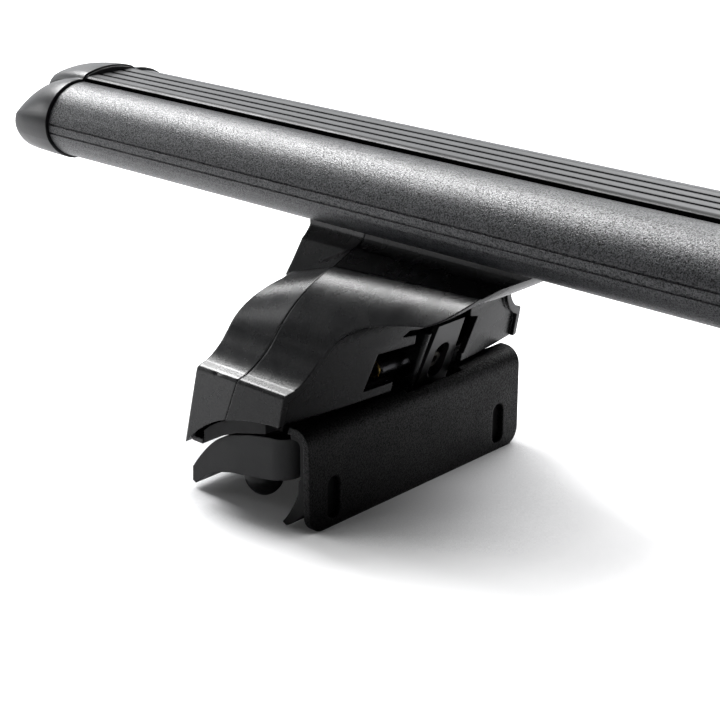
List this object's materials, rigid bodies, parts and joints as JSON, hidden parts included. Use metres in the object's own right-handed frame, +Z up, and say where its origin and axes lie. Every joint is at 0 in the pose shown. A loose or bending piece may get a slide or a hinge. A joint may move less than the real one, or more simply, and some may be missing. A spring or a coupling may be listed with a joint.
{
  "type": "clamp-on crossbar",
  "caption": "Load-carrying crossbar with an oval hollow bar, a grooved rubber strip and sliding feet that clamp to a vehicle's rails by a bolt-drawn jaw.",
  "frame": {"origin": "centre of the footprint, on the floor that the clamp plates' lower edges stand on", "axes": "+X along the bar, +Y along the vehicle's rails, +Z up towards the load"},
  "size_m": [1.3648, 0.1606, 0.1645],
  "materials": {
    "bar_metal": "fine-textured charcoal powder coat",
    "strip_rubber": "matte grooved rubber",
    "cap_plastic": "satin moulded plastic",
    "screw_steel": "black zinc",
    "tower_plastic": "satin, finely grained",
    "cover_plastic": "satin, finely grained",
    "sole_plastic": "matte",
    "pad_rubber": "matte rubber",
    "stud_plastic": "matte",
    "plate_metal": "textured black powder coat",
    "liner_rubber": "matte rubber",
    "strap_steel": "satin black coat",
    "barrel_steel": "oiled steel",
    "bolt_steel": "zinc plated",
    "washer_steel": "zinc plated",
    "slot_steel": "zinc plated"
  },
  "bodies": {
    "bar": {"crossbar_extrusion": "bar_metal", "slot_strip": "strip_rubber", "end_cap_left": "cap_plastic", "end_cap_right": "cap_plastic"},
    "foot_left": {"tower_body_left": "tower_plastic", "base_sole_left": "sole_plastic", "rail_pad_left": "pad_rubber", "locating_studs_left": "stud_plastic", "slot_plate_left": "slot_steel", "slot_screws_left": "screw_steel", "bolt_washer_left": "washer_steel"},
    "cover_left": {"outer_cover_left": "cover_plastic"},
    "bolt_left": {"tension_bolt_left": "bolt_steel"},
    "nut_left": {"barrel_nut_left": "barrel_steel"},
    "jaw_left": {"tension_strap_left": "strap_steel", "clamp_plate_left": "plate_metal", "jaw_liner_left": "liner_rubber"},
    "foot_right": {"tower_body_right": "tower_plastic", "base_sole_right": "sole_plastic", "rail_pad_right": "pad_rubber", "locating_studs_right": "stud_plastic", "slot_plate_right": "slot_steel", "slot_screws_right": "screw_steel", "bolt_washer_right": "washer_steel"},
    "cover_right": {"outer_cover_right": "cover_plastic"},
    "bolt_right": {"tension_bolt_right": "bolt_steel"},
    "nut_right": {"barrel_nut_right": "barrel_steel"},
    "jaw_right": {"tension_strap_right": "strap_steel", "clamp_plate_right": "plate_metal", "jaw_liner_right": "liner_rubber"}
  },
  "joints": [
    {"name": "foot_left_slide", "type": "slide", "parent": "bar", "child": "foot_left", "axis": [1, 0, 0], "range_m": [-0.095, 0.25]},
    {"name": "cover_left_pull", "type": "slide", "parent": "foot_left", "child": "cover_left", "axis": [-1, 0, 0], "range_m": [0, 0.035]},
    {"name": "bolt_left_turn", "type": "hinge", "parent": "foot_left", "child": "bolt_left", "pos_m": [-0.462, 0.021, 0.056], "axis": [0.9336, 0, -0.3584], "range_deg": [-1260, 684]},
    {"name": "nut_left_travel", "type": "slide", "parent": "foot_left", "child": "nut_left", "axis": [0.9336, 0, -0.3584], "range_m": [-0.002, 0.004]},
    {"name": "jaw_left_swing", "type": "hinge", "parent": "nut_left", "child": "jaw_left", "pos_m": [-0.462, 0.021, 0.056], "axis": [0, -1, 0], "range_deg": [-2, 9.5]},
    {"name": "foot_right_slide", "type": "slide", "parent": "bar", "child": "foot_right", "axis": [-1, 0, 0], "range_m": [-0.095, 0.25]},
    {"name": "cover_right_pull", "type": "slide", "parent": "foot_right", "child": "cover_right", "axis": [1, 0, 0], "range_m": [0, 0.035]},
    {"name": "bolt_right_turn", "type": "hinge", "parent": "foot_right", "child": "bolt_right", "pos_m": [0.462, -0.021, 0.056], "axis": [-0.9336, 0, -0.3584], "range_deg": [-1260, 684]},
    {"name": "nut_right_travel", "type": "slide", "parent": "foot_right", "child": "nut_right", "axis": [-0.9336, 0, -0.3584], "range_m": [-0.002, 0.004]},
    {"name": "jaw_right_swing", "type": "hinge", "parent": "nut_right", "child": "jaw_right", "pos_m": [0.462, -0.021, 0.056], "axis": [0, 1, 0], "range_deg": [-2, 9.5]}
  ],
  "couplings": [
    {"joint": "bolt_left_turn", "follows": "nut_left_travel", "rad_per_m": -5026.5},
    {"joint": "bolt_right_turn", "follows": "nut_right_travel", "rad_per_m": -5026.5}
  ]
}
